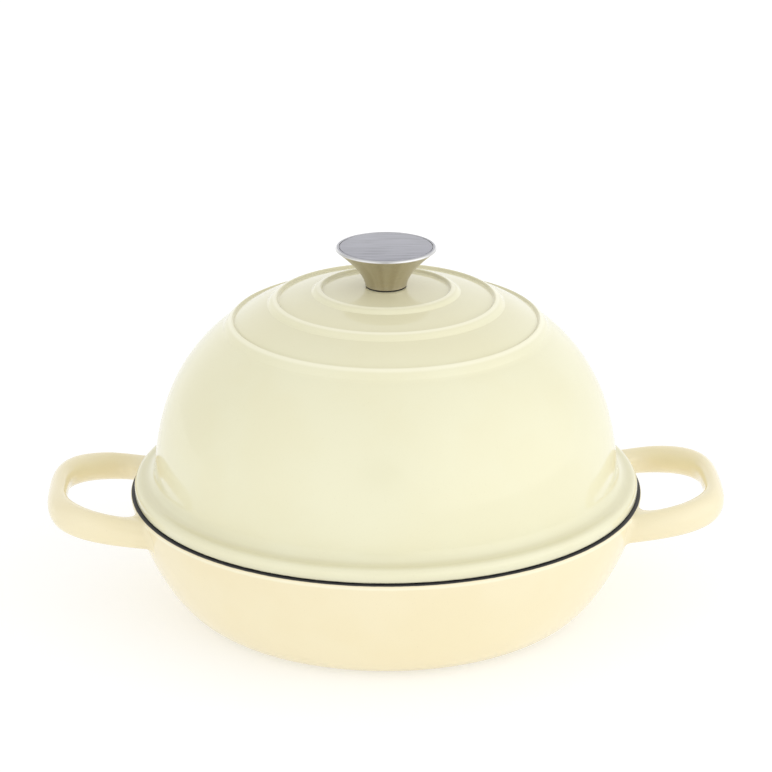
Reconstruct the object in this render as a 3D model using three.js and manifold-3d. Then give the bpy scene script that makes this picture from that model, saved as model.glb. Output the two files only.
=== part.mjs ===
// Enamelled cast iron bread oven: a shallow pan with two loop handles, and a tall domed lid with a steel knob.
// Millimetres, +Z up. The origin is the middle of the pan's foot, on the surface that it stands on.
// The pan is one casting with its handles along X. The lid stands shut on the pan's rim.

import * as THREE from "three";
import { mergeVertices } from "three/addons/utils/BufferGeometryUtils.js";
import Module from "manifold-3d";

const wasm = await Module();
wasm.setup();

// Pan
const panRimRadius = 130;
const panHeight = 60;
const panWall = 4;
const panRimEdge = 0.8;
const panFootRadius = 93;
const panFootWidth = 9;
const panFootRecess = 0.8;
const panSideDrop = 14.5;
const panFootSweep = 18;

// Loop handles, cast in one with the pan
const handleReach = 37;
const handleHalfWidth = 45.5;
const handleFullness = 3.2;
const handleBarWidth = 10;
const handleBarHeight = 15;
const handleBarLean = 0.1;
const handleDrop = 7.5;
const handleRise = 0.108;
const handleInnerFillet = 14;
const handleOuterFillet = 2.5;
const handleSaddle = 1.1;
const handleSaddleLength = 22;

// Lid casting
const lidSeatGap = 0.3;
const flangeSetback = 2;
const flangeWidth = 10.3;
const flangeThickness = 7;
const flangeUnderEdge = 1;
const flangeEdgeRound = 3.6;
const flangeFillet = 6.3;
const domeHeight = 106.8;
const domeFullness = 2.42;
const lidWall = 4.5;
const lipClearance = 1.5;
const lipDepth = 1.5;
const lipWidth = 3;
const lipShoulder = 5;

// Rings round the crown of the lid: each rises over a broad shoulder and falls into a narrow crease behind it
const ringCount = 3;
const ringOuterRadius = 78.7;
const ringSpacing = 22.2;
const ringHeight = 1.7;
const ringShoulder = 4;
const ringCreaseWidth = 1.6;

// Knob and the screw that holds it
const gasketThickness = 1;
const gasketMargin = 0.3;
const knobFootRadius = 10;
const knobTopRadius = 25.2;
const knobHeight = 19.8;
const knobFlare = 1.5;
const knobWall = 1.4;
const knobFloor = 2;
const knobRimRound = 1.2;
const capRadius = 22.4;
const capThickness = 1.2;
const capLedge = 1.2;
const fitClearance = 0.3;
const insertRadius = 6.5;
const insertHeight = 13;
const screwRadius = 3;
const screwEngagement = 9;
const screwHeadRadius = 6;
const screwHeadHeight = 4.4;
const screwHeadEdge = 1.6;
const washerRadius = 9;
const washerThickness = 1.2;
const lockWasherRadius = 5.8;
const lockWasherThickness = 1.6;
const lockWasherSplit = 1.5;
const seatMargin = 1;

// Smoothness of the faceted surfaces
const castingSides = 60;
const hardwareSides = 28;
const wallSteps = 9;
const domeSteps = 9;
const liningSteps = 7;
const arcSteps = 4;
const shoulderSteps = 3;
const handleSteps = 30;
const handleSides = 14;

// Sizes that follow from the ones above
const flangeRadius = panRimRadius - flangeSetback;
const domeRadius = flangeRadius - flangeWidth;
const lipRadius = panRimRadius - panWall - lipClearance;
const screwHoleRadius = screwRadius + fitClearance;
const knobSeatRadius = knobFootRadius + gasketMargin + seatMargin;
const washerSeatRadius = washerRadius + seatMargin;

// A closed triangle mesh becomes a solid, without the flat triangles that a turned profile leaves on its axis.
function solidFrom(geometry) {
  geometry.deleteAttribute("normal");
  geometry.deleteAttribute("uv");
  const merged = mergeVertices(geometry);
  const corners = merged.index.array;
  const triangles = [];
  for (let i = 0; i < corners.length; i += 3) {
    const [a, b, c] = corners.slice(i, i + 3);
    if (a !== b && b !== c && c !== a) triangles.push(a, b, c);
  }
  return new wasm.Manifold(new wasm.Mesh({
    numProp: 3,
    vertProperties: new Float32Array(merged.attributes.position.array),
    triVerts: new Uint32Array(triangles),
  }));
}

function geometryFrom(solid) {
  const { vertProperties, triVerts } = solid.getMesh();
  const geometry = new THREE.BufferGeometry();
  geometry.setAttribute("position", new THREE.BufferAttribute(vertProperties, 3));
  geometry.setIndex(new THREE.BufferAttribute(triVerts, 1));
  geometry.computeVertexNormals();
  return geometry;
}

function piece(name, solid, colour, roughness, metalness) {
  const material = new THREE.MeshStandardMaterial({ color: colour, roughness, metalness });
  const mesh = new THREE.Mesh(geometryFrom(solid), material);
  mesh.name = name;
  return mesh;
}

const point = (radius, height) => new THREE.Vector2(radius, height);

// A profile of (radius, height) points is turned about Z.
// It runs outwards below, up the outside and back above.
function turned(profile, sides) {
  return solidFrom(new THREE.LatheGeometry(profile, sides).rotateX(Math.PI / 2));
}

// A flat ring with a hole, from one height to another
function ring(innerRadius, outerRadius, low, high) {
  const corners = [
    point(innerRadius, low),
    point(outerRadius, low),
    point(outerRadius, high),
    point(innerRadius, high),
    point(innerRadius, low),
  ];
  return turned(corners, hardwareSides);
}

// Points of a round corner about a centre, from one angle to another in degrees
function arc(centreRadius, centreHeight, radius, fromDegrees, toDegrees, steps) {
  const points = [];
  for (let i = 0; i <= steps; i++) {
    const angle = THREE.MathUtils.degToRad(THREE.MathUtils.lerp(fromDegrees, toDegrees, i / steps));
    points.push(point(centreRadius + radius * Math.cos(angle), centreHeight + radius * Math.sin(angle)));
  }
  return points;
}

// Pan: its side leaves the rim upright and sweeps into the foot.
// The inside is the same curve, set in by the wall.
const panSide = new THREE.CubicBezierCurve(
  point(panFootRadius, 0),
  point(panFootRadius + panFootSweep, 0),
  point(panRimRadius, panHeight - panSideDrop),
  point(panRimRadius, panHeight),
);

function panSidePoints(inset) {
  const points = [];
  for (let i = 0; i <= wallSteps; i++) {
    const place = panSide.getPoint(i / wallSteps);
    const along = panSide.getTangent(i / wallSteps);
    points.push(point(place.x - along.y * inset, place.y + along.x * inset));
  }
  return points;
}

function panBowl() {
  const rimInside = panRimRadius - panWall;
  const outside = panSidePoints(0).slice(0, -1);
  return turned([
    point(0, panFootRecess),
    point(panFootRadius - panFootWidth - panFootRecess, panFootRecess),
    point(panFootRadius - panFootWidth, 0),
    ...outside,
    point(panRimRadius, panHeight - panRimEdge),
    point(panRimRadius - panRimEdge, panHeight),
    point(rimInside, panHeight),
    point(0, panHeight),
  ], castingSides);
}

function panHollow() {
  return turned([
    point(0, panWall),
    ...panSidePoints(panWall),
    point(panRimRadius - panWall, panHeight + panWall),
    point(0, panHeight + panWall),
  ], castingSides);
}

// The middle line of a handle's bar from above is a rounded loop that starts and ends inside the pan's wall.
// It runs from turn -1 at one root, through 0 at the outer end, to 1 at the other root.
const rootX = Math.sqrt((panRimRadius - panWall) ** 2 - (handleHalfWidth + handleBarWidth) ** 2);
const loopReach = panRimRadius + handleReach - rootX;

function handleMiddle(turn) {
  const angle = turn * Math.PI / 2;
  const out = Math.abs(Math.cos(angle)) ** (2 / handleFullness);
  const aside = Math.sign(turn) * Math.abs(Math.sin(angle)) ** (2 / handleFullness);
  return point(rootX + loopReach * out, handleHalfWidth * aside);
}

// Even steps from -1 to 1 are crowded towards the roots, where the bar changes most.
const crowdedTurn = (step) => Math.sign(step) * (1 - (1 - Math.abs(step)) ** 2);

// How far a place on the middle line stands out from the pan's wall, along X
const outFromWall = (place) => place.x - Math.sqrt(panRimRadius ** 2 - place.y ** 2);

// How far the bar swells where it runs into the pan, as a round fillet does
function rootSwell(place, fillet) {
  const nearness = THREE.MathUtils.clamp(1 - outFromWall(place) / fillet, 0, 1);
  return fillet * (1 - Math.sqrt(1 - nearness ** 2));
}

// How far the top of the bar dips to pass under the rim where it runs into the pan
const rootDip = (place) =>
  handleSaddle * (1 - THREE.MathUtils.smoothstep(outFromWall(place), 0, handleSaddleLength));

// A handle is a round bar bent along its loop.
// Its oval section leans in at the top, and it swells and dips at the roots.
function panHandle() {
  const bar = new THREE.CylinderGeometry(1, 1, 2, handleSides, handleSteps);
  const corners = bar.attributes.position;
  const nearby = 0.5 / handleSteps;
  for (let i = 0; i < corners.count; i++) {
    const turn = crowdedTurn(corners.getY(i));
    const middle = handleMiddle(turn);
    const before = handleMiddle(Math.max(turn - nearby, -1));
    const after = handleMiddle(Math.min(turn + nearby, 1));
    const along = after.sub(before).normalize();
    const outerSwell = rootSwell(middle, handleOuterFillet);
    const innerSwell = rootSwell(middle, handleInnerFillet);
    const above = Math.max(corners.getZ(i), 0);
    const below = Math.min(corners.getZ(i), 0);
    const outer = Math.max(corners.getX(i), 0);
    const inner = Math.min(corners.getX(i), 0);
    const up = above * (handleBarHeight / 2 - rootDip(middle)) + below * (handleBarHeight / 2 + outerSwell);
    const aside = outer * (handleBarWidth / 2 + outerSwell) + inner * (handleBarWidth / 2 + innerSwell);
    const across = aside - handleBarLean * up;
    const rise = panHeight - handleDrop + handleRise * (middle.x - rootX);
    corners.setXYZ(i, middle.x + along.y * across, middle.y - along.x * across, rise + up);
  }
  const clearOfRim = turned([
    point(0, panHeight),
    point(panRimRadius, panHeight),
    point(panRimRadius, panHeight + handleBarHeight),
    point(0, panHeight + handleBarHeight),
  ], castingSides);
  return solidFrom(bar).subtract(clearOfRim);
}

function panCasting() {
  const handle = panHandle();
  const otherHandle = handle.rotate([0, 0, 180]);
  return panBowl().add(handle).add(otherHandle).subtract(panHollow());
}

// Lid: a dome of one steady curve, from a flared flange up to the rings and the flat seat of the knob
const superellipse = (radius, halfWidth, height) =>
  height * (1 - (radius / halfWidth) ** domeFullness) ** (1 / domeFullness);

const superellipseRadius = (height, halfWidth, top) =>
  halfWidth * (1 - (height / top) ** domeFullness) ** (1 / domeFullness);

const ringRadii = Array.from({ length: ringCount }, (_, i) => ringOuterRadius - i * ringSpacing);

function crownHeight(radius) {
  let height = superellipse(radius, domeRadius, domeHeight);
  for (const ringRadius of ringRadii) {
    const shoulder = 1 - THREE.MathUtils.smoothstep(radius, ringRadius, ringRadius + ringShoulder);
    const crease = 1 - THREE.MathUtils.smoothstep(radius, ringRadius - ringCreaseWidth, ringRadius);
    height += ringHeight * (shoulder - crease);
  }
  return height;
}

// Radii where the crown's profile bends, from the foot of the outer ring in to the knob's seat
function crownRadii() {
  const radii = [];
  ringRadii.forEach((ringRadius, i) => {
    for (let step = 0; step <= shoulderSteps; step++) {
      radii.push(ringRadius + ringShoulder * (1 - step / shoulderSteps));
    }
    radii.push(ringRadius - ringCreaseWidth / 2);
    radii.push(ringRadius - ringCreaseWidth);
    const treadEnd = i + 1 < ringCount ? ringRadii[i + 1] + ringShoulder : knobSeatRadius;
    radii.push((ringRadius - ringCreaseWidth + treadEnd) / 2);
  });
  return radii;
}

const lidTop = crownHeight(knobSeatRadius);
const innerDomeRadius = domeRadius - lidWall;
const innerDomeHeight = domeHeight - lidWall;
const lidCeiling = superellipse(washerSeatRadius, innerDomeRadius, innerDomeHeight);

// Points of a dome from one height up to another, spread by the angle that they turn through
function domePoints(halfWidth, top, fromHeight, toHeight, steps) {
  const points = [];
  const angleAt = (height) => Math.asin((height / top) ** (domeFullness / 2));
  for (let i = 0; i <= steps; i++) {
    const angle = THREE.MathUtils.lerp(angleAt(fromHeight), angleAt(toHeight), i / steps);
    const height = top * Math.sin(angle) ** (2 / domeFullness);
    points.push(point(superellipseRadius(height, halfWidth, top), height));
  }
  return points;
}

function lidCasting() {
  const edgeMiddle = flangeThickness - flangeEdgeRound;
  const filletTop = flangeThickness + flangeFillet;
  const sideRadius = superellipseRadius(filletTop, domeRadius, domeHeight);
  const crownFoot = superellipse(ringOuterRadius + ringShoulder, domeRadius, domeHeight);
  const profile = [
    point(lipRadius - lipWidth, -lipDepth),
    point(lipRadius, -lipDepth),
    point(lipRadius, 0),
    point(flangeRadius - flangeUnderEdge, 0),
    point(flangeRadius, flangeUnderEdge),
    ...arc(flangeRadius - flangeEdgeRound, edgeMiddle, flangeEdgeRound, 0, 90, arcSteps),
    ...arc(sideRadius + flangeFillet, filletTop, flangeFillet, 270, 180, arcSteps),
    ...domePoints(domeRadius, domeHeight, filletTop, crownFoot, domeSteps).slice(1),
    ...crownRadii().slice(1).map((radius) => point(radius, crownHeight(radius))),
    point(knobSeatRadius, lidTop),
    point(screwHoleRadius, lidTop),
    point(screwHoleRadius, lidCeiling),
    ...domePoints(innerDomeRadius, innerDomeHeight, lipShoulder, lidCeiling, liningSteps).reverse(),
    point(lipRadius - lipWidth, -lipDepth),
  ];
  return turned(profile, castingSides);
}

// Knob: a flared shell with a recessed top for the cap, standing on its gasket
const knobRimFoot = knobHeight - knobRimRound;
const knobSide = (height) =>
  knobFootRadius + (knobTopRadius - knobFootRadius) * (height / knobRimFoot) ** knobFlare;

function knobShell() {
  const ledge = knobHeight - capThickness;
  const recessRadius = capRadius + fitClearance;
  const outside = [];
  const inside = [];
  for (let i = 0; i <= wallSteps; i++) {
    const outsideHeight = knobRimFoot * i / wallSteps;
    const insideHeight = THREE.MathUtils.lerp(knobFloor, ledge, i / wallSteps);
    outside.push(point(knobSide(outsideHeight), outsideHeight));
    const insideRadius = knobSide(insideHeight - knobWall);
    inside.push(point(Math.min(insideRadius, capRadius - capLedge), insideHeight));
  }
  inside[0].x = knobSide(0) - knobWall;
  return turned([
    point(screwHoleRadius, 0),
    ...outside,
    ...arc(knobTopRadius - knobRimRound, knobRimFoot, knobRimRound, 0, 90, arcSteps),
    point(recessRadius, knobHeight),
    point(recessRadius, ledge),
    ...inside.reverse(),
    point(screwHoleRadius, knobFloor),
    point(screwHoleRadius, 0),
  ], hardwareSides);
}

function knobCap() {
  const edge = capThickness / 4;
  return turned([
    point(0, 0),
    point(capRadius, 0),
    point(capRadius, capThickness - edge),
    point(capRadius - edge, capThickness),
    point(0, capThickness),
  ], hardwareSides);
}

// A spring washer: a ring with one narrow split
function lockWasher() {
  const bore = screwRadius + fitClearance;
  const halfSplit = Math.asin(lockWasherSplit / 2 / lockWasherRadius);
  const outline = new THREE.Shape();
  outline.absarc(0, 0, lockWasherRadius, halfSplit, 2 * Math.PI - halfSplit, false);
  outline.absarc(0, 0, bore, 2 * Math.PI - halfSplit, halfSplit, true);
  const settings = { depth: lockWasherThickness, bevelEnabled: false, curveSegments: hardwareSides };
  return solidFrom(new THREE.ExtrudeGeometry(outline, settings));
}

// The screw hangs head down from the washers, and its shank reaches up into the insert.
function knobScrew(shankLength) {
  return turned([
    point(0, -screwHeadHeight),
    point(screwHeadRadius - screwHeadEdge, -screwHeadHeight),
    ...arc(screwHeadRadius - screwHeadEdge, screwHeadEdge - screwHeadHeight, screwHeadEdge, 270, 360, arcSteps),
    point(screwHeadRadius, 0),
    point(screwRadius, 0),
    point(screwRadius, shankLength),
    point(0, shankLength),
  ], hardwareSides);
}

// Finishes
const enamel = 0xf2e8c8;
const steel = 0xb9b4a6;
const brushedSteel = 0xb4b5ba;
const zincSteel = 0xc2c3c4;
const blackRubber = 0x1c1b1a;

// Assembly
const oven = new THREE.Group();
oven.add(piece("pan", panCasting(), enamel, 0.22, 0));

const lid = new THREE.Group();
lid.position.z = panHeight + lidSeatGap;
lid.add(piece("lid", lidCasting(), enamel, 0.2, 0));
oven.add(lid);

const knob = new THREE.Group();
knob.position.z = lidTop;
const gasket = piece(
  "knob_gasket",
  ring(screwHoleRadius, knobFootRadius + gasketMargin, 0, gasketThickness),
  blackRubber, 0.8, 0,
);
const knobBody = piece("knob_body", knobShell(), steel, 0.3, 1);
knobBody.position.z = gasketThickness;
const insert = piece(
  "knob_insert",
  ring(screwHoleRadius, insertRadius, 0, insertHeight),
  zincSteel, 0.45, 1,
);
insert.position.z = gasketThickness + knobFloor;
const cap = piece("knob_cap", knobCap(), brushedSteel, 0.4, 1);
cap.position.z = gasketThickness + knobHeight - capThickness;
knob.add(gasket, knobBody, insert, cap);
lid.add(knob);

const fastening = new THREE.Group();
fastening.position.z = lidCeiling;
const washer = piece(
  "lid_washer",
  ring(screwHoleRadius, washerRadius, -washerThickness, 0),
  zincSteel, 0.4, 1,
);
const springWasher = piece("lock_washer", lockWasher(), zincSteel, 0.45, 1);
springWasher.position.z = -washerThickness - lockWasherThickness;
const screwHeadTop = -washerThickness - lockWasherThickness;
const insertFoot = lidTop - lidCeiling + gasketThickness + knobFloor;
const screw = piece("knob_screw", knobScrew(insertFoot + screwEngagement - screwHeadTop), zincSteel, 0.35, 1);
screw.position.z = screwHeadTop;
fastening.add(washer, springWasher, screw);
lid.add(fastening);

export default oven;
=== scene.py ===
# Looks of an enamelled cast iron bread oven: a shallow pan with loop handles, under a domed lid with a knob.
# Metres, +Z up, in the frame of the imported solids. Each piece is a finer form of the solid that it replaces.

import functools
import math

import bmesh
import bpy
from mathutils import Color, Matrix, Vector
from mathutils.geometry import interpolate_bezier


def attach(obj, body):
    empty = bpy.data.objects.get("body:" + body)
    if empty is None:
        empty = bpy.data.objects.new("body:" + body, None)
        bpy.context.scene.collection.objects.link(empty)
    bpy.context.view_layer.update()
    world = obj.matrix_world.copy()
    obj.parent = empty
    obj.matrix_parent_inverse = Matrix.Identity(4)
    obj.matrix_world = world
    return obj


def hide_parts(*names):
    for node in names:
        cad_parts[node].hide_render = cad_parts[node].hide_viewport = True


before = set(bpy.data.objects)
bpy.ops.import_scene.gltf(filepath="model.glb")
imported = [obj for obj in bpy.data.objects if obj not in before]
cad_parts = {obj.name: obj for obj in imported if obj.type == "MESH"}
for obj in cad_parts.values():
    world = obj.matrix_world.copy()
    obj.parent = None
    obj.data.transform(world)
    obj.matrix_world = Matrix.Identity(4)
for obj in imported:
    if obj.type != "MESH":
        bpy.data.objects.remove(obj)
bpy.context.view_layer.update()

# Pan
pan_rim_radius = 0.130
pan_height = 0.060
pan_wall = 0.004
pan_rim_round = 0.0008
pan_foot_radius = 0.093
pan_foot_width = 0.009
pan_foot_recess = 0.0008
pan_side_drop = 0.0145
pan_foot_sweep = 0.018

# Loop handles, cast in one with the pan
handle_reach = 0.03698
handle_half_width = 0.0455
handle_fullness = 3.2
handle_bar_width = 0.010
handle_bar_height = 0.015
handle_bar_lean = 0.1
handle_drop = 0.0075
handle_rise = 0.108
handle_inner_fillet = 0.017
handle_outer_fillet = 0.003
handle_under_fillet = 0.003
handle_web_spread = 0.4
handle_corner_web = 0.0035
handle_saddle = 0.0011
handle_saddle_length = 0.022
handle_root_depth = 0.0015

# Lid casting
lid_foot = pan_height + 0.0003
flange_radius = pan_rim_radius - 0.002
flange_width = 0.0103
flange_thickness = 0.007
flange_under_edge = 0.001
flange_edge_round = 0.0036
flange_fillet = 0.0063
dome_radius = flange_radius - flange_width
dome_height = 0.1068
dome_fullness = 2.42
lid_wall = 0.0045
lip_radius = pan_rim_radius - pan_wall - 0.0015
lip_depth = 0.0015
lip_width = 0.003
lip_shoulder = 0.005

# Rings round the crown of the lid
ring_radii = (0.0773, 0.0550, 0.0328)
ring_height = 0.0017
ring_shoulder = 0.0045
ring_crease = 0.0015
ring_fullness = 2.6

# Knob and the screw that holds it
gasket_thickness = 0.0007
gasket_radius = 0.0102
knob_foot_radius = 0.0104
knob_top_radius = 0.0252
knob_height = 0.0201
knob_flare = 1.6
knob_wall = 0.0014
knob_floor = 0.002
knob_rim_round = 0.0012
knob_seat_radius = 0.0113
cap_radius = 0.0232
cap_thickness = 0.0012
cap_ledge = 0.0012
fit_clearance = 0.0003
insert_radius = 0.0065
insert_height = 0.013
screw_radius = 0.003
screw_engagement = 0.009
screw_head_radius = 0.006
screw_head_height = 0.0044
screw_head_edge = 0.0016
washer_radius = 0.009
washer_thickness = 0.0012
washer_seat_radius = 0.010
lock_washer_radius = 0.0058
lock_washer_thickness = 0.0016
lock_washer_split = 0.0015

# Smoothness of the turned and bent surfaces
casting_sides = 192
hardware_sides = 96
curve_steps = 40
corner_steps = 5
edge_steps = 10
fillet_steps = 12
crown_steps = 240
handle_steps = 140
handle_sides = 48
sharp_angle = math.radians(40)
merge_distance = 1e-7


# Turned shapes

def turned(outline, sides, closed):
    """An outline of (radius, height) or (radius, height, corner round) points is turned about Z."""
    bm = bmesh.new()
    verts = [bm.verts.new((corner[0], 0, corner[1])) for corner in outline]
    ends = verts[1:] + verts[:1] if closed else verts[1:]
    for start, end in zip(verts, ends):
        bm.edges.new((start, end))
    for vert, corner in zip(verts, outline):
        if len(corner) == 3:
            bmesh.ops.bevel(
                bm, geom=[vert], offset=corner[2], offset_type="OFFSET", affect="VERTICES",
                segments=corner_steps, profile=0.5, material=-1,
            )
    bmesh.ops.spin(
        bm, geom=bm.verts[:] + bm.edges[:], axis=(0, 0, 1), cent=(0, 0, 0),
        angle=2 * math.pi, steps=sides, use_merge=True,
    )
    bmesh.ops.remove_doubles(bm, verts=bm.verts[:], dist=merge_distance)
    bmesh.ops.recalc_face_normals(bm, faces=bm.faces[:])
    return bm


def raised(outline, height):
    """An outline that is moved up."""
    return [(corner[0], corner[1] + height, *corner[2:]) for corner in outline]


def piece(name, bm, body, node, finish):
    """A finished mesh becomes a piece that rides on a body, in place of a solid."""
    for face in bm.faces:
        face.smooth = True
    mesh = bpy.data.meshes.new(name)
    bm.to_mesh(mesh)
    bm.free()
    mesh.set_sharp_from_angle(angle=sharp_angle)
    mesh.materials.append(finish.material)
    made = bpy.data.objects.new(name, mesh)
    bpy.context.scene.collection.objects.link(made)
    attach(made, body)
    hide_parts(node)


def arc(centre_radius, centre_height, radius, from_degrees, to_degrees, steps):
    """Points along an arc of an outline."""
    points = []
    for step in range(steps + 1):
        angle = math.radians(from_degrees + (to_degrees - from_degrees) * step / steps)
        points.append((centre_radius + radius * math.cos(angle), centre_height + radius * math.sin(angle)))
    return points


def smoothstep(value, low, high):
    """0 below low, 1 above high, and a soft step between."""
    share = min(max((value - low) / (high - low), 0), 1)
    return share * share * (3 - 2 * share)


# Pan: its side leaves the rim upright and sweeps into the foot

pan_side_knots = (
    Vector((pan_foot_radius, 0, 0)),
    Vector((pan_foot_radius + pan_foot_sweep, 0, 0)),
    Vector((pan_rim_radius, 0, pan_height - pan_side_drop)),
    Vector((pan_rim_radius, 0, pan_height)),
)
pan_side = interpolate_bezier(*pan_side_knots, curve_steps + 1)


def pan_lining():
    """The pan's side, set in by its wall."""
    points = []
    for before, here, after in zip(pan_side[:1] + pan_side, pan_side, pan_side[1:] + pan_side[-1:]):
        along = (after - before).normalized()
        points.append((here.x - along.z * pan_wall, here.z + along.x * pan_wall))
    return points


def pan_outline():
    """The pan's section, from the middle of its foot over the rim to the middle of its floor."""
    foot_inside = pan_foot_radius - pan_foot_width
    lining = [point for point in pan_lining() if point[1] < pan_height - pan_rim_round]
    return [
        (0, pan_foot_recess),
        (foot_inside - pan_foot_recess, pan_foot_recess, pan_foot_recess / 2),
        (foot_inside, 0, pan_foot_recess / 3),
        *[(place.x, place.z) for place in pan_side if place.z < pan_height - pan_rim_round],
        (pan_rim_radius, pan_height, pan_rim_round),
        (pan_rim_radius - pan_wall, pan_height, pan_rim_round),
        *reversed(lining),
        (0, pan_wall),
    ]


# Loop handles

@functools.lru_cache(maxsize=None)
def pan_radius(height):
    """The radius of the pan's outside at a height."""
    for low, high in zip(pan_side, pan_side[1:]):
        if low.z <= height <= high.z:
            share = (height - low.z) / (high.z - low.z)
            return low.x + (high.x - low.x) * share
    return pan_rim_radius


root_x = math.sqrt((pan_rim_radius - pan_wall) ** 2 - (handle_half_width + handle_bar_width) ** 2)
loop_reach = pan_rim_radius + handle_reach - root_x


def loop_middle(angle):
    """The middle line of a handle's bar, by the angle about the loop's own centre."""
    out = abs(math.cos(angle)) / loop_reach
    aside = abs(math.sin(angle)) / handle_half_width
    radius = (out ** handle_fullness + aside ** handle_fullness) ** (-1 / handle_fullness)
    x = root_x + radius * math.cos(angle)
    height = pan_height - handle_drop + handle_rise * (x - root_x)
    return Vector((x, radius * math.sin(angle), height))


def corner_share(angle):
    """1 at the two corners of a handle's loop, and 0 at its end and its roots."""
    out = (abs(math.cos(angle)) / loop_reach) ** handle_fullness
    aside = (abs(math.sin(angle)) / handle_half_width) ** handle_fullness
    return 4 * out * aside / (out + aside) ** 2


def out_of_wall(place):
    """How far a place stands out of the pan's wall."""
    return math.hypot(place.x, place.y) - pan_radius(place.z)


def bar_place(angle, around):
    """A place on the bar's oval section, which leans in at the top, fills the loop's corners on its
    inner side, and dips under the rim at its root."""
    middle = loop_middle(angle)
    nearby = 0.002
    along = loop_middle(angle + nearby) - loop_middle(angle - nearby)
    outward = Vector((along.y, -along.x, 0)).normalized()
    dip = handle_saddle * (1 - smoothstep(out_of_wall(middle), 0, handle_saddle_length))
    half_height = handle_bar_height / 2 - (dip if around > 0 else 0)
    up = half_height * math.sin(around)
    web = handle_corner_web * corner_share(angle) * min(math.cos(around), 0)
    across = handle_bar_width / 2 * math.cos(around) + web - handle_bar_lean * up
    return middle + outward * across + Vector((0, 0, up))


@functools.lru_cache(maxsize=None)
def root_angle(around):
    """The angle about the loop where a line along the bar has run a little way into the pan's wall."""
    outside, inside = 0, math.pi / 2
    while inside - outside > merge_distance:
        angle = (inside + outside) / 2
        if out_of_wall(bar_place(angle, around)) > -handle_root_depth:
            outside = angle
        else:
            inside = angle
    return inside


def root_swell(out, fillet):
    """How far a round fillet has spread from the bar, at a distance out of the wall."""
    nearness = min(max(1 - out / fillet, 0), 1)
    return fillet * (1 - math.sqrt(1 - nearness ** 2))


def handle_place(step, around):
    """A place on the handle, from one root at step -1 to the other at 1, with webs at the wall."""
    angle = root_angle(around) * (1 - (1 - abs(step)) ** 2)
    place = bar_place(angle, around)
    out = out_of_wall(place)
    side = math.cos(around)
    web = root_swell(out, handle_outer_fillet if side > 0 else handle_inner_fillet)
    share = abs(side) ** handle_web_spread if around > 0 else abs(side)
    turn = math.atan2(place.y, place.x) + math.copysign(web * share, side) / pan_rim_radius
    place.z += root_swell(out, handle_under_fillet) * min(math.sin(around), 0)
    radius = pan_radius(place.z) + out
    place.x = radius * math.cos(turn)
    place.y = math.copysign(radius * math.sin(turn), step)
    return place


def add_handle(bm):
    """A sheet is rolled into a bar round its loop, and its ends are shut inside the wall."""
    sheet = bmesh.ops.create_grid(bm, x_segments=handle_steps, y_segments=handle_sides, size=1)["verts"]
    for vert in sheet:
        vert.co = handle_place(vert.co.x, vert.co.y * math.pi)
    bmesh.ops.remove_doubles(bm, verts=sheet, dist=merge_distance)
    bmesh.ops.holes_fill(bm, edges=[edge for edge in bm.edges if edge.is_boundary])


def make_pan(finish):
    bm = turned(pan_outline(), casting_sides, closed=False)
    bowl = set(bm.faces)
    add_handle(bm)
    handle = [face for face in bm.faces if face not in bowl]
    copied = bmesh.ops.duplicate(bm, geom=handle)["geom"]
    other = [part for part in copied if isinstance(part, bmesh.types.BMVert)]
    bmesh.ops.scale(bm, verts=other, vec=(-1, -1, 1))
    bmesh.ops.recalc_face_normals(bm, faces=bm.faces[:])
    piece("pan_casting", bm, "pan", "pan", finish)


# Lid: a dome of one steady curve, from a flared flange up to the rings and the seat of the knob

def dome(radius, half_width, top):
    """The height of a dome at a radius."""
    return top * (1 - (radius / half_width) ** dome_fullness) ** (1 / dome_fullness)


def dome_side(height, half_width, top):
    """The radius of a dome at a height."""
    return half_width * (1 - (height / top) ** dome_fullness) ** (1 / dome_fullness)


def dome_points(half_width, top, from_height, to_height, steps):
    """Points up a dome, spread by the angle that they turn through."""
    points = []
    start, end = (math.asin((height / top) ** (dome_fullness / 2)) for height in (from_height, to_height))
    for step in range(steps + 1):
        height = top * math.sin(start + (end - start) * step / steps) ** (2 / dome_fullness)
        points.append((dome_side(height, half_width, top), height))
    return points


def crown_height(radius):
    """Each ring rises over a broad shoulder and falls into a narrow crease behind it."""
    height = dome(radius, dome_radius, dome_height)
    for ring in ring_radii:
        shoulder = 1 - min(max((radius - ring) / ring_shoulder, 0), 1) ** ring_fullness
        crease = 1 - smoothstep(radius, ring - ring_crease, ring)
        height += ring_height * (shoulder - crease)
    return height


lid_top = crown_height(knob_seat_radius)
lining_radius = dome_radius - lid_wall
lining_height = dome_height - lid_wall
lid_ceiling = dome(washer_seat_radius, lining_radius, lining_height)
screw_hole = screw_radius + fit_clearance


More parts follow.
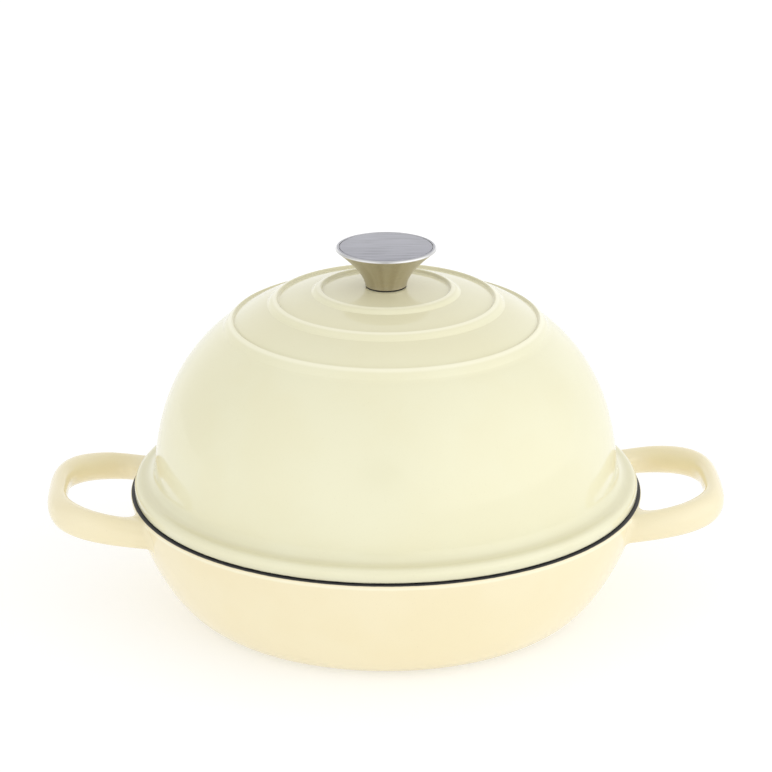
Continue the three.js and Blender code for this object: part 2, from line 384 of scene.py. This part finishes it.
def lid_outline():
    """The lid's section, from its lip over the flange and the dome to the screw's hole, and back inside."""
    edge_radius = flange_radius - flange_edge_round
    edge_height = flange_thickness - flange_edge_round
    fillet_top = flange_thickness + flange_fillet
    side_radius = dome_side(fillet_top, dome_radius, dome_height)
    crown_edge = ring_radii[0] + ring_shoulder
    crown = []
    for step in range(1, crown_steps):
        radius = crown_edge + (knob_seat_radius - crown_edge) * step / crown_steps
        crown.append((radius, crown_height(radius)))
    side_top = dome(crown_edge, dome_radius, dome_height)
    lining = dome_points(lining_radius, lining_height, lip_shoulder, lid_ceiling, curve_steps)
    outline = [
        (lip_radius - lip_width, -lip_depth, lip_depth / 3),
        (lip_radius, -lip_depth, lip_depth / 3),
        (lip_radius, 0, lip_depth / 3),
        (flange_radius, 0, flange_under_edge),
        *arc(edge_radius, edge_height, flange_edge_round, 0, 90, edge_steps),
        *arc(side_radius + flange_fillet, fillet_top, flange_fillet, 270, 180, fillet_steps),
        *dome_points(dome_radius, dome_height, fillet_top, side_top, curve_steps)[1:],
        *crown,
        (knob_seat_radius, lid_top),
        (screw_hole, lid_top, fit_clearance),
        (screw_hole, lid_ceiling, fit_clearance),
        *reversed(lining),
    ]
    return raised(outline, lid_foot)


def make_lid(finish):
    bm = turned(lid_outline(), casting_sides, closed=True)
    piece("lid_casting", bm, "lid", "lid", finish)


# Knob: a flared shell with a brushed disc in its top, standing on its gasket

gasket_foot = lid_foot + lid_top
knob_foot = gasket_foot + gasket_thickness
knob_top = knob_foot + knob_height
knob_rim_foot = knob_height - knob_rim_round


def knob_side(height):
    """The radius of the knob's side at a height."""
    return knob_foot_radius + (knob_top_radius - knob_foot_radius) * (height / knob_rim_foot) ** knob_flare


def make_knob_shell(finish):
    ledge = knob_height - cap_thickness
    recess = cap_radius + fit_clearance
    outside = []
    inside = []
    for step in range(1, curve_steps):
        height = knob_rim_foot * step / curve_steps
        outside.append((knob_side(height), height))
        height = knob_floor + (ledge - knob_floor) * step / curve_steps
        inside.append((min(knob_side(height - knob_wall), cap_radius - cap_ledge), height))
    outline = [
        (screw_hole, 0),
        (knob_foot_radius, 0, fit_clearance),
        *outside,
        *arc(knob_top_radius - knob_rim_round, knob_rim_foot, knob_rim_round, 0, 90, edge_steps),
        (recess, knob_height, fit_clearance / 2),
        (recess, ledge),
        (cap_radius - cap_ledge, ledge),
        *reversed(inside),
        (knob_foot_radius - knob_wall, knob_floor),
        (screw_hole, knob_floor),
    ]
    bm = turned(raised(outline, knob_foot), hardware_sides, closed=True)
    piece("knob_shell", bm, "lid", "knob_body", finish)


def make_knob_disc(finish):
    low = knob_top - cap_thickness
    outline = [
        (0, low),
        (cap_radius, low, cap_thickness / 6),
        (cap_radius, knob_top, cap_thickness / 4),
        (0, knob_top),
    ]
    bm = turned(outline, hardware_sides, closed=False)
    piece("knob_disc", bm, "lid", "knob_cap", finish)


def make_ring(name, node, finish, radius, low, high):
    """A flat ring round the screw, with eased edges."""
    ease = (high - low) / 6
    outline = [
        (screw_hole, low, ease),
        (radius, low, ease),
        (radius, high, ease),
        (screw_hole, high, ease),
    ]
    bm = turned(outline, hardware_sides, closed=True)
    piece(name, bm, "lid", node, finish)


# The screw hangs head down from its washers under the lid, and its shank reaches up into the knob's boss

ceiling = lid_foot + lid_ceiling
lock_washer_top = ceiling - washer_thickness
screw_head_top = lock_washer_top - lock_washer_thickness
boss_foot = knob_foot + knob_floor
boss_top = boss_foot + insert_height


def make_lock_washer(finish):
    """A ring that is cut through at one place, with its two ends sprung apart a little."""
    bm = bmesh.new()
    low = screw_head_top
    section = [
        bm.verts.new((radius, 0, height))
        for radius, height in (
            (screw_hole, low),
            (lock_washer_radius, low),
            (lock_washer_radius, lock_washer_top),
            (screw_hole, lock_washer_top),
        )
    ]
    start = bm.faces.new(section)
    half_split = math.asin(lock_washer_split / 2 / lock_washer_radius)
    bmesh.ops.rotate(bm, verts=section, cent=(0, 0, 0), matrix=Matrix.Rotation(half_split, 3, "Z"))
    bmesh.ops.spin(
        bm, geom=[start], axis=(0, 0, 1), cent=(0, 0, 0),
        angle=2 * (math.pi - half_split), steps=hardware_sides, use_merge=False,
    )
    bmesh.ops.recalc_face_normals(bm, faces=bm.faces[:])
    piece("spring_washer", bm, "lid", "lock_washer", finish)


def make_screw(finish):
    low = screw_head_top - screw_head_height
    high = boss_foot + screw_engagement
    outline = [
        (0, low),
        (screw_head_radius, low, screw_head_edge),
        (screw_head_radius, screw_head_top),
        (screw_radius, screw_head_top),
        (screw_radius, high, screw_radius / 5),
        (0, high),
    ]
    bm = turned(outline, hardware_sides, closed=False)
    piece("pan_head_screw", bm, "lid", "knob_screw", finish)


# Finishes

class Value:
    """A number that varies over a surface. Sums of values add Math nodes to the tree that they belong to."""

    def __init__(self, tree, socket):
        self.tree = tree
        self.socket = socket

    def sum(self, operation, first, second):
        made = self.tree.node("ShaderNodeMath", {"operation": operation}, {0: first, 1: second})
        return Value(self.tree, made.outputs[0])

    def __add__(self, other):
        return self.sum("ADD", self, other)

    def __radd__(self, other):
        return self.sum("ADD", other, self)

    def __sub__(self, other):
        return self.sum("SUBTRACT", self, other)

    def __rsub__(self, other):
        return self.sum("SUBTRACT", other, self)

    def __mul__(self, other):
        return self.sum("MULTIPLY", self, other)

    def __rmul__(self, other):
        return self.sum("MULTIPLY", other, self)


class Tree:
    """A node tree. Each node gets its settings first, and then the values or links of its sockets."""

    def __init__(self, tree):
        self.tree = tree

    def node(self, kind, settings, inputs):
        made = self.tree.nodes.new(kind)
        for name, setting in settings.items():
            setattr(made, name, setting)
        for key, given in inputs.items():
            self.feed(made.inputs[key], given)
        return made

    def feed(self, socket, given):
        if isinstance(given, Value):
            given = given.socket
        if isinstance(given, bpy.types.NodeSocket):
            self.tree.links.new(given, socket)
        else:
            socket.default_value = given

    def parts(self, vector):
        """The three numbers of a vector."""
        made = self.node("ShaderNodeSeparateXYZ", {}, {"Vector": vector})
        return [Value(self, made.outputs[axis]) for axis in "XYZ"]

    def rise(self, value, low, high):
        """0 below low, 1 above high, and a soft step between."""
        made = self.node(
            "ShaderNodeMapRange", {"interpolation_type": "SMOOTHSTEP"},
            {"Value": value, "From Min": low, "From Max": high},
        )
        return Value(self, made.outputs["Result"])

    def band(self, value, low, high, soft):
        return self.rise(value, low - soft, low + soft) * (1 - self.rise(value, high - soft, high + soft))

    def mix(self, share, first, second):
        made = self.node(
            "ShaderNodeMix", {"data_type": "RGBA", "blend_type": "MIX"},
            {0: share, 6: first, 7: second},
        )
        return made.outputs[2]


def colour(red, green, blue):
    """A colour of the screen, 0 to 255, as linear light."""
    return (*Color((red / 255, green / 255, blue / 255)).from_srgb_to_scene_linear(), 1)


class Finish(Tree):
    """A material on the piece's own coordinates."""

    def __init__(self, name):
        self.material = bpy.data.materials.new(name)
        self.material.use_nodes = True
        super().__init__(self.material.node_tree)
        self.surface = self.tree.nodes["Principled BSDF"]
        self.place = self.node("ShaderNodeTexCoord", {}, {}).outputs["Object"]
        self.height = self.parts(self.place)[2]
        flat = self.node("ShaderNodeVectorMath", {"operation": "MULTIPLY"}, {0: self.place, 1: (1, 1, 0)})
        self.flat = flat.outputs["Vector"]
        length = self.node("ShaderNodeVectorMath", {"operation": "LENGTH"}, {0: self.flat})
        self.radius = Value(self, length.outputs["Value"])

    def noise_at(self, vector, scale, detail):
        made = self.node(
            "ShaderNodeTexNoise", {"noise_dimensions": "3D"},
            {"Vector": vector, "Scale": scale, "Detail": detail},
        )
        return Value(self, made.outputs["Fac"])

    def around(self, scale, detail):
        """A noise that changes only round the axis, so that it runs in upright stripes up a turned side."""
        turn = self.node("ShaderNodeVectorMath", {"operation": "NORMALIZE"}, {0: self.flat})
        return self.noise_at(turn.outputs["Vector"], scale, detail)

    def upward(self):
        """How far the surface faces up, from -1 to 1."""
        return self.parts(self.node("ShaderNodeNewGeometry", {}, {}).outputs["Normal"])[2]

    def noise(self, scale, detail, stretch=(1, 1, 1)):
        spread = self.node("ShaderNodeVectorMath", {"operation": "MULTIPLY"}, {0: self.place, 1: stretch})
        return self.noise_at(spread.outputs["Vector"], scale, detail)

    def bump(self, height, distance):
        made = self.node("ShaderNodeBump", {}, {"Height": height, "Distance": distance})
        return made.outputs["Normal"]

    def dress(self, inputs):
        for name, given in inputs.items():
            self.feed(self.surface.inputs[name], given)


# Enamel, and the places of its lining, its bands, its painted shade and its painted highlights

speck_tone = colour(150, 132, 98)
# Painted shade: a darker tone laid into creases, over the lid's crown and just above the pan's foot.
painted_shade_tone = colour(208, 201, 166)
# Painted highlight: a paler tone laid over the ring shoulders and under the pan's rim.
painted_highlight_tone = colour(252, 249, 226)
black_tones = (colour(24, 24, 27), colour(68, 68, 71))
band_roughness = 0.62
peel_depth = 0.000006
pan_lining_edge = 0.128
lid_lining_edge = 0.122
lining_soft = 0.0005
band_wobble = 0.0006
rim_band = (0.1240, 0.1297)
rim_band_depth = 0.0018
foot_band = (0.0838, 0.0945)


def enamel_finish(name, coat, shade, lining, bands):
    """Glossy enamel with a slight orange peel, with painted shade in its creases and painted highlights over
    its edges.
    It has a paler lining, and matt black bands where the castings meet and stand."""
    finish = Finish(name)
    cloud = finish.noise(22, 3)
    peel = finish.noise(420, 2)
    pits = finish.noise(1900, 1)
    tone = finish.mix(finish.rise(cloud, 0.35, 0.65), coat, shade)
    speck = finish.rise(pits, 0.71, 0.76)
    tone = finish.mix(speck * 0.12, tone, speck_tone)
    inside, band, painted_shade, painted_highlight = bands(finish)
    # Painted shade and painted highlight are mixed into the base colour.
    tone = finish.mix(painted_shade, tone, painted_shade_tone)
    tone = finish.mix(painted_highlight, tone, painted_highlight_tone)
    tone = finish.mix(inside, tone, lining)
    grit = finish.noise(2600, 3)
    black = finish.mix(grit, *black_tones)
    tone = finish.mix(band, tone, black)
    smooth = 0.03 + 0.04 * cloud + 0.02 * peel
    finish.dress({
        "Base Color": tone,
        "Roughness": smooth * (1 - band) + band_roughness * band,
        "Normal": finish.bump(peel * (1 - band) + (0.5 * grit + 0.5) * band, peel_depth),
    })
    return finish


def edge_wobble(finish):
    """A slow wander of the edges of the bands."""
    return band_wobble * (finish.noise(260, 2) - 0.5)


def pan_bands(finish):
    """The pan's lining, its black rim and foot, a painted shade just above the foot and a painted highlight
    under the rim.
    """
    wobble = edge_wobble(finish)
    inside = 1 - finish.rise(finish.radius, pan_lining_edge - lining_soft, pan_lining_edge + lining_soft)
    inside = inside * finish.rise(finish.upward(), -0.02, 0.02)
    rim_foot = pan_height - rim_band_depth
    rim = finish.rise(finish.height + wobble, rim_foot - 0.0003, rim_foot)
    rim = rim * finish.band(finish.radius + 0.3 * wobble, *rim_band, 0.0001)
    foot = 1 - finish.rise(finish.height + wobble, 0.0002, 0.0009)
    foot = foot * finish.band(finish.radius + wobble, *foot_band, 0.0008)
    # Painted shade: a darker band just above the pan's foot.
    painted_shade = 0.3 * finish.band(finish.height + wobble, 0.001, 0.003, 0.001)
    # Painted highlight: a paler band just under the pan's rim.
    painted_highlight = 0.5 * finish.band(finish.height + wobble, pan_height - 0.0022, pan_height - 0.0008, 0.0006)
    painted_highlight = painted_highlight * (1 - finish.rise(finish.radius, pan_rim_radius + 0.0002, pan_rim_radius + 0.0008))
    return inside, rim + foot, painted_shade, painted_highlight


def lid_bands(finish):
    """The lid's lining, its black underside, painted shade in the ring creases and over the crown, and painted
    highlights on the ring shoulders.
    """
    wobble = edge_wobble(finish)
    inside = 1 - finish.rise(finish.radius, lid_lining_edge - lining_soft, lid_lining_edge + lining_soft)
    inside = inside * (1 - finish.rise(finish.upward(), -0.02, 0.02))
    under = 1 - finish.rise(finish.height + wobble, lid_foot + 0.0002, lid_foot + 0.0006)
    outside = finish.rise(finish.upward(), 0, 0.1)
    # Painted shade: darker over the upward-facing crown, and in each ring's crease below.
    painted_shade = 0.28 * finish.rise(finish.upward(), 0.75, 0.97)
    # Painted highlight: a paler band over each ring's shoulder.
    painted_highlight = 0
    for ring in ring_radii:
        painted_shade = painted_shade + 0.5 * finish.band(finish.radius, ring - ring_crease, ring - 0.0003, 0.0006)
        painted_highlight = painted_highlight + 0.55 * finish.band(finish.radius, ring, ring + 0.0018, 0.0007)
    return inside, under, painted_shade * outside, painted_highlight * outside


def knob_finish():
    """Turned satin steel, with painted highlight streaks up its side in a warm tint that paints in the cream
    lid's reflection, a polished rim and a brushed flat round the disc.
    """
    finish = Finish("knob_steel")
    lines = finish.noise(900, 3, (0.15, 0.15, 12))
    # Painted highlight: soft streaks round the knob's side.
    painted_streaks = finish.rise(finish.around(3.2, 2), 0.34, 0.66)
    rim_foot = knob_top - knob_rim_round
    polish = finish.rise(finish.height, rim_foot - 0.0004, rim_foot + 0.0004)
    flat = polish * finish.rise(finish.upward(), 0.85, 0.97)
    # Two warm steel tones, whose warmth is a painted reflection of the cream lid.
    tone = finish.mix(painted_streaks, colour(192, 184, 164), colour(204, 197, 180))
    tone = finish.mix(polish, tone, colour(216, 216, 216))
    tone = finish.mix(flat, tone, colour(166, 166, 173))
    satin = 0.22 + 0.08 * lines
    finish.dress({
        "Base Color": tone,
        "Metallic": 1.0,
        "Anisotropic": 0.8,
        "Anisotropic Rotation": 0.25,
        "Roughness": satin * (1 - polish) + 0.14 * polish + 0.2 * flat,
        "Normal": finish.bump(lines * (1 - polish), 0.00001),
    })
    return finish


def brushed_finish():
    """Brushed steel, with straight lines across the disc and slow clouds."""
    finish = Finish("brushed_disc_steel")
    lines = finish.rise(finish.noise(420, 3, (0.1, 2.6, 1)), 0.3, 0.7)
    cloud = finish.noise(90, 3)
    tone = finish.mix(lines, colour(137, 137, 144), colour(184, 184, 192))
    tone = finish.mix(finish.rise(cloud, 0.4, 0.6) * 0.5, tone, colour(168, 168, 176))
    finish.dress({
        "Base Color": tone,
        "Metallic": 1.0,
        "Roughness": 0.3 + 0.14 * lines,
        "Normal": finish.bump(lines, 0.00001),
    })
    return finish


def rubber_finish():
    """Matt black silicone with a fine grain."""
    finish = Finish("black_silicone")
    grain = finish.noise(1500, 3)
    finish.dress({
        "Base Color": finish.mix(grain, colour(24, 23, 22), colour(46, 45, 43)),
        "Roughness": 0.6 + 0.2 * grain,
        "Normal": finish.bump(grain, 0.00002),
    })
    return finish


def zinc_finish():
    """Zinc plate with slow clouds and fine turned lines."""
    finish = Finish("zinc_plate")
    cloud = finish.noise(240, 3)
    lines = finish.noise(900, 3, (1, 1, 8))
    finish.dress({
        "Base Color": finish.mix(cloud, colour(176, 178, 182), colour(206, 206, 204)),
        "Metallic": 1.0,
        "Roughness": 0.28 + 0.14 * lines,
        "Normal": finish.bump(lines, 0.00001),
    })
    return finish


# The oven

lining_tone = colour(247, 243, 230)
pan_tone = colour(241, 230, 195)
pan_shade = colour(240, 228, 191)
lid_tone = colour(235, 232, 201)
lid_shade = colour(234, 230, 197)
pan_enamel = enamel_finish("pan_enamel", pan_tone, pan_shade, lining_tone, pan_bands)
lid_enamel = enamel_finish("lid_enamel", lid_tone, lid_shade, lining_tone, lid_bands)
knob_steel = knob_finish()
brushed_steel = brushed_finish()
rubber = rubber_finish()
zinc = zinc_finish()

make_pan(pan_enamel)
make_lid(lid_enamel)
make_ring("gasket_ring", "knob_gasket", rubber, gasket_radius, gasket_foot, knob_foot)
make_knob_shell(knob_steel)
make_ring("knob_boss", "knob_insert", zinc, insert_radius, boss_foot, boss_top)
make_knob_disc(brushed_steel)
make_ring("flat_washer", "lid_washer", zinc, washer_radius, lock_washer_top, ceiling)
make_lock_washer(zinc)
make_screw(zinc)


# Floor, light and camera

floor_half_width = 4
floor_gap = 0.0002
floor_tone = 0.63
floor_glow = 0.44
sky_horizon = 0.95
sky_overhead = 0.80

# Glows of the studio: azimuth, elevation and reach in degrees, and strength. Dim patches are below 0.
studio_glows = (
    (62, 14, 60, 0.72),
    (-58, 16, 55, 0.35),
    (180, 20, 65, 0.2),
    (-105, 12, 50, -0.18),
    (-5, 22, 14, -0.5),
)


def seen_from_oven(azimuth, elevation):
    """A direction by its degrees round from the front and up from the floor."""
    round_front = math.radians(azimuth)
    above_floor = math.radians(elevation)
    level = math.cos(above_floor)
    return Vector((level * math.sin(round_front), -level * math.cos(round_front), math.sin(above_floor)))


def make_floor():
    """A white floor a hair under the foot, clear when it is seen from below."""
    bm = bmesh.new()
    grid = bmesh.ops.create_grid(bm, x_segments=1, y_segments=1, size=floor_half_width)
    bmesh.ops.translate(bm, verts=grid["verts"], vec=(0, 0, -floor_gap))
    mesh = bpy.data.meshes.new("floor")
    bm.to_mesh(mesh)
    bm.free()
    finish = Finish("floor_white")
    finish.dress({
        "Base Color": (floor_tone, floor_tone, floor_tone, 1),
        "Roughness": 0.9,
        "Specular IOR Level": 0.0,
        "Emission Color": (1, 1, 1, 1),
        "Emission Strength": floor_glow,
    })
    below = finish.node("ShaderNodeNewGeometry", {}, {}).outputs["Backfacing"]
    clear = finish.node("ShaderNodeBsdfTransparent", {}, {})
    sides = finish.node(
        "ShaderNodeMixShader", {},
        {0: below, 1: finish.surface.outputs["BSDF"], 2: clear.outputs["BSDF"]},
    )
    finish.feed(finish.tree.nodes["Material Output"].inputs["Surface"], sides.outputs["Shader"])
    mesh.materials.append(finish.material)
    floor = bpy.data.objects.new("floor", mesh)
    bpy.context.scene.collection.objects.link(floor)


def make_world():
    """A pale studio, a little dimmer overhead, with broad soft glows and dim patches."""
    world = bpy.data.worlds.new("studio")
    world.use_nodes = True
    studio = Tree(world.node_tree)
    direction = studio.node("ShaderNodeTexCoord", {}, {}).outputs["Generated"]
    upward = studio.parts(direction)[2]
    strength = sky_horizon - (sky_horizon - sky_overhead) * studio.rise(upward, 0, 0.8)
    for azimuth, elevation, reach, glow in studio_glows:
        middle = seen_from_oven(azimuth, elevation)
        toward = studio.node(
            "ShaderNodeVectorMath", {"operation": "DOT_PRODUCT"}, {0: direction, 1: middle},
        )
        nearness = Value(studio, toward.outputs["Value"])
        strength = strength + glow * studio.rise(nearness, math.cos(math.radians(reach)), 1)
    sky = world.node_tree.nodes["Background"]
    studio.feed(sky.inputs["Color"], (1, 1, 1, 1))
    studio.feed(sky.inputs["Strength"], strength)
    bpy.context.scene.world = world


def make_camera():
    picture_width = 772
    focal_pixels = 3166
    azimuth = -1.9
    elevation = 19.88
    look_at = Vector((0, 0, 0.11383))
    distance = 1.6
    back = seen_from_oven(azimuth, elevation)
    lens = bpy.data.cameras.new("camera")
    lens.sensor_width = 36
    lens.lens = lens.sensor_width * focal_pixels / picture_width
    camera = bpy.data.objects.new("camera", lens)
    camera.location = look_at + back * distance
    camera.rotation_euler = (-back).to_track_quat("-Z", "Y").to_euler()
    bpy.context.scene.collection.objects.link(camera)
    bpy.context.scene.camera = camera


make_floor()
make_world()
make_camera()
bpy.context.scene.view_settings.view_transform = "Standard"
